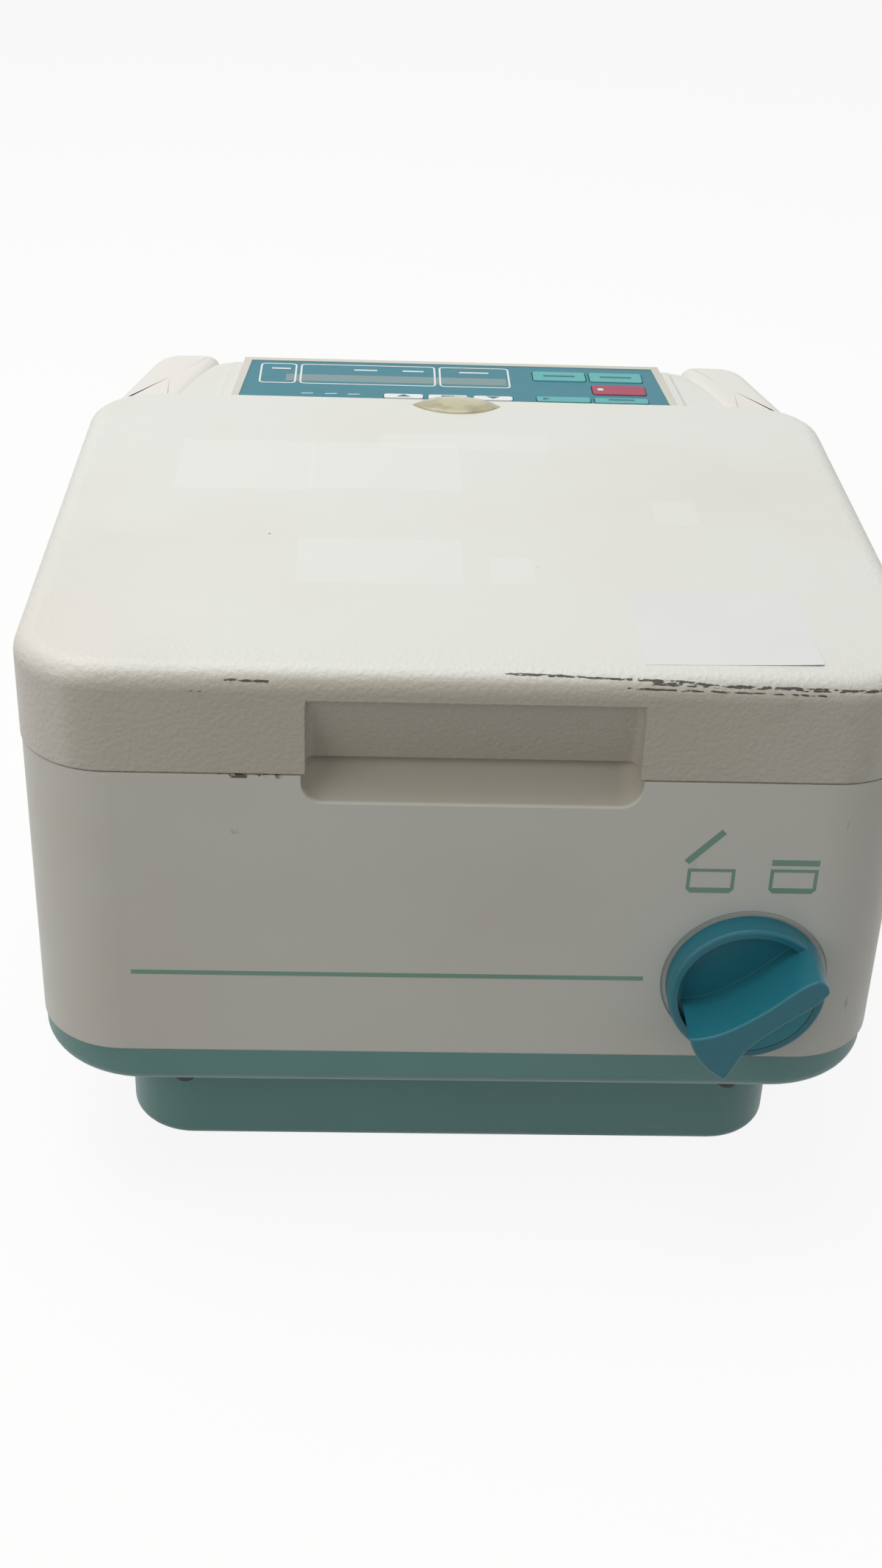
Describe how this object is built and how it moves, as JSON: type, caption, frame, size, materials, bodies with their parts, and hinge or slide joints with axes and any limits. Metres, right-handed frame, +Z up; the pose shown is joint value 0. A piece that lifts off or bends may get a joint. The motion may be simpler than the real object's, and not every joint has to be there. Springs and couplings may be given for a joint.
{
  "type": "benchtop centrifuge",
  "caption": "Benchtop laboratory centrifuge with a hinged lid, turn-knob lid lock, angled tube rotor in a steel chamber and a key panel behind the lid.",
  "frame": {"origin": "on the bench, under the middle of the outline, knob included", "axes": "+X to the right seen from the front, +Y to the back, +Z up"},
  "size_m": [0.3266, 0.376, 0.238],
  "materials": {
    "pan_plastic": "satin moulded teal plastic",
    "rubber": "matt rubber",
    "housing_paint": "fine textured cream paint",
    "lid_paint": "fine textured cream paint",
    "stainless": "brushed stainless steel",
    "zinc_steel": "zinc plated steel",
    "dark_steel": "dark steel",
    "seal_rubber": "soft seal rubber",
    "motor_paint": "black enamel",
    "copper_stack": "laminated steel and copper",
    "rotor_metal": "anodised aluminium",
    "knob_plastic": "satin teal plastic",
    "bush_plastic": "plain bearing plastic",
    "frame_plastic": "beige plastic",
    "membrane_teal": "printed membrane film",
    "display_glass": "tinted window",
    "key_green": "printed membrane film",
    "key_red": "printed membrane film",
    "key_white": "printed membrane film",
    "board_green": "circuit board lacquer",
    "black_plastic": "black plastic",
    "transformer_steel": "varnished laminations",
    "yellow_glass": "yellowed clear plastic",
    "liner_plastic": "smooth moulded plastic"
  },
  "bodies": {
    "root": {"base_pan": "pan_plastic", "rubber_feet": "rubber", "housing": "housing_paint", "pan_screws": "zinc_steel", "bowl": "stainless", "bowl_gasket": "seal_rubber", "motor_mounts": "rubber", "motor_plate": "zinc_steel", "motor_can": "motor_paint", "motor_cap": "motor_paint", "stator": "copper_stack", "bearing_lower": "dark_steel", "bearing_upper": "dark_steel", "shaft_seal": "seal_rubber", "hinge_ear_left": "zinc_steel", "hinge_ear_right": "zinc_steel", "ear_screws": "zinc_steel", "knob_bush": "bush_plastic", "latch_guide": "zinc_steel", "lid_switch": "black_plastic", "panel_frame": "frame_plastic", "control_panel": "membrane_teal", "display_window": "display_glass", "control_board": "board_green", "back_plate": "zinc_steel", "power_inlet": "black_plastic", "fuse_holder": "black_plastic", "switch_frame": "black_plastic", "transformer": "transformer_steel", "power_board": "board_green"},
    "lid": {"lid_shell": "lid_paint", "sight_glass": "yellow_glass", "lid_liner": "liner_plastic", "liner_screws": "zinc_steel", "striker": "zinc_steel", "hinge_pin_left": "dark_steel", "hinge_pin_right": "dark_steel"},
    "rotor": {"armature": "copper_stack", "motor_shaft": "dark_steel", "rotor_body": "rotor_metal", "rotor_nut": "rotor_metal"},
    "knob": {"knob": "knob_plastic", "knob_shaft": "zinc_steel"},
    "latch": {"latch_slide": "zinc_steel"},
    "rocker": {"power_rocker": "black_plastic"},
    "key_green_back_left": {"key_green_back_left": "key_green"},
    "key_green_back_right": {"key_green_back_right": "key_green"},
    "key_green_front_left": {"key_green_front_left": "key_green"},
    "key_green_front_right": {"key_green_front_right": "key_green"},
    "key_red": {"key_red": "key_red"},
    "key_white_left": {"key_white_left": "key_white"},
    "key_white_middle": {"key_white_middle": "key_white"},
    "key_white_right": {"key_white_right": "key_white"}
  },
  "joints": [
    {"name": "lid_hinge", "type": "hinge", "parent": "root", "child": "lid", "pos_m": [0, 0.1, 0.228], "axis": [-1, 0, 0], "range_deg": [0, 80]},
    {"name": "rotor_spin", "type": "hinge", "parent": "root", "child": "rotor", "pos_m": [0, -0.0285, 0.103], "axis": [0, 0, 1], "continuous": true},
    {"name": "knob_turn", "type": "hinge", "parent": "root", "child": "knob", "pos_m": [0.1053, -0.158, 0.11], "axis": [0, 1, 0], "range_deg": [0, 60]},
    {"name": "latch_travel", "type": "slide", "parent": "root", "child": "latch", "axis": [1, 0, 0], "range_m": [0, 0.011]},
    {"name": "power_switch", "type": "hinge", "parent": "root", "child": "rocker", "pos_m": [0.02, 0.1815, 0.112], "axis": [-1, 0, 0], "range_deg": [0, 14]},
    {"name": "press_green_back_left", "type": "slide", "parent": "root", "child": "key_green_back_left", "axis": [0, 0, -1], "range_m": [0, 0.0006], "stiffness_N_per_m": 900},
    {"name": "press_green_back_right", "type": "slide", "parent": "root", "child": "key_green_back_right", "axis": [0, 0, -1], "range_m": [0, 0.0006], "stiffness_N_per_m": 900},
    {"name": "press_green_front_left", "type": "slide", "parent": "root", "child": "key_green_front_left", "axis": [0, 0, -1], "range_m": [0, 0.0006], "stiffness_N_per_m": 900},
    {"name": "press_green_front_right", "type": "slide", "parent": "root", "child": "key_green_front_right", "axis": [0, 0, -1], "range_m": [0, 0.0006], "stiffness_N_per_m": 900},
    {"name": "press_red", "type": "slide", "parent": "root", "child": "key_red", "axis": [0, 0, -1], "range_m": [0, 0.0006], "stiffness_N_per_m": 900},
    {"name": "press_white_left", "type": "slide", "parent": "root", "child": "key_white_left", "axis": [0, 0, -1], "range_m": [0, 0.0006], "stiffness_N_per_m": 900},
    {"name": "press_white_middle", "type": "slide", "parent": "root", "child": "key_white_middle", "axis": [0, 0, -1], "range_m": [0, 0.0006], "stiffness_N_per_m": 900},
    {"name": "press_white_right", "type": "slide", "parent": "root", "child": "key_white_right", "axis": [0, 0, -1], "range_m": [0, 0.0006], "stiffness_N_per_m": 900}
  ],
  "couplings": [
    {"joint": "latch_travel", "follows": "knob_turn", "m_per_rad": 0.010503}
  ]
}
